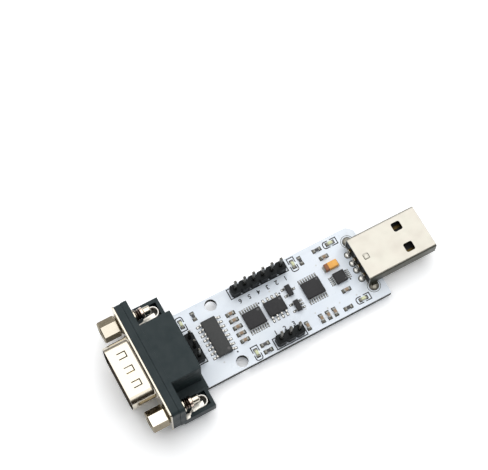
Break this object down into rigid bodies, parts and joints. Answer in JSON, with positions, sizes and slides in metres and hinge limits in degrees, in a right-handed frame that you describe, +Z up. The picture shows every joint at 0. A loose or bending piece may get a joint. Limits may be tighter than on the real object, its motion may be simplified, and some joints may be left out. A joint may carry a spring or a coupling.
{
  "type": "usb to serial adapter module",
  "caption": "USB to serial adapter board with a USB plug at one end, a D connector with jackscrews at the other, and pin headers and chips between.",
  "frame": {"origin": "on the surface that the module stands on, under the middle of its overall box", "axes": "+X from the D connector to the USB plug, +Y across the board towards the longer pin header, +Z up from the component side"},
  "size_m": [0.085, 0.0308, 0.0151],
  "materials": {
    "board_mask": "white solder mask with black outlines, semi-gloss",
    "header_plastic": "moulded black, fine matt grain",
    "pin_plating": "thin bright plating with drawn lines",
    "usb_tin": "satin tin plate, warm cast, faint rolling lines",
    "insulator_plastic": "moulded dark plastic",
    "contact_gold": "gold flash on copper alloy",
    "nickel_steel": "bright nickel plate, light wear on the edges",
    "solder_tin": "bright tin",
    "connector_plastic": "charcoal glass-filled plastic, fine grain",
    "chip_moulding": "moulding compound, fine matt grain",
    "tantalum_moulding": "amber moulding with a brown polarity band",
    "led_lens": "pale yellow-green diffused resin"
  },
  "bodies": {
    "root": {"circuit_board": "board_mask", "header_6": "header_plastic", "header_3_edge": "header_plastic", "header_3_side": "header_plastic", "header_6_pin_1": "pin_plating", "header_6_pin_2": "pin_plating", "header_6_pin_3": "pin_plating", "header_6_pin_4": "pin_plating", "header_6_pin_5": "pin_plating", "header_6_pin_6": "pin_plating", "header_3_edge_pin_1": "pin_plating", "header_3_edge_pin_2": "pin_plating", "header_3_edge_pin_3": "pin_plating", "header_3_side_pin_1": "pin_plating", "header_3_side_pin_2": "pin_plating", "header_3_side_pin_3": "pin_plating", "usb_shell": "usb_tin", "usb_insulator": "insulator_plastic", "usb_contact_1": "contact_gold", "usb_contact_2": "contact_gold", "usb_contact_3": "contact_gold", "usb_contact_4": "contact_gold", "dsub_shell": "nickel_steel", "dsub_insulator": "connector_plastic", "dsub_housing": "connector_plastic", "dsub_pin_1": "contact_gold", "dsub_pin_2": "contact_gold", "dsub_pin_3": "contact_gold", "dsub_pin_4": "contact_gold", "dsub_pin_5": "contact_gold", "dsub_pin_6": "contact_gold", "dsub_pin_7": "contact_gold", "dsub_pin_8": "contact_gold", "dsub_pin_9": "contact_gold", "jackscrew_left": "nickel_steel", "boardlock_left": "nickel_steel", "eyelet_left": "solder_tin", "jackscrew_right": "nickel_steel", "boardlock_right": "nickel_steel", "eyelet_right": "solder_tin", "soic_16": "chip_moulding", "soic_8": "chip_moulding", "tssop_16_a": "chip_moulding", "tssop_16_b": "chip_moulding", "msop_10": "chip_moulding", "sot_23_3": "chip_moulding", "sot_23_5": "chip_moulding", "tantalum_capacitor": "tantalum_moulding", "led_serial": "led_lens", "led_bus": "led_lens", "led_ttl": "led_lens", "led_usb": "led_lens", "led_power": "led_lens"}
  },
  "joints": []
}
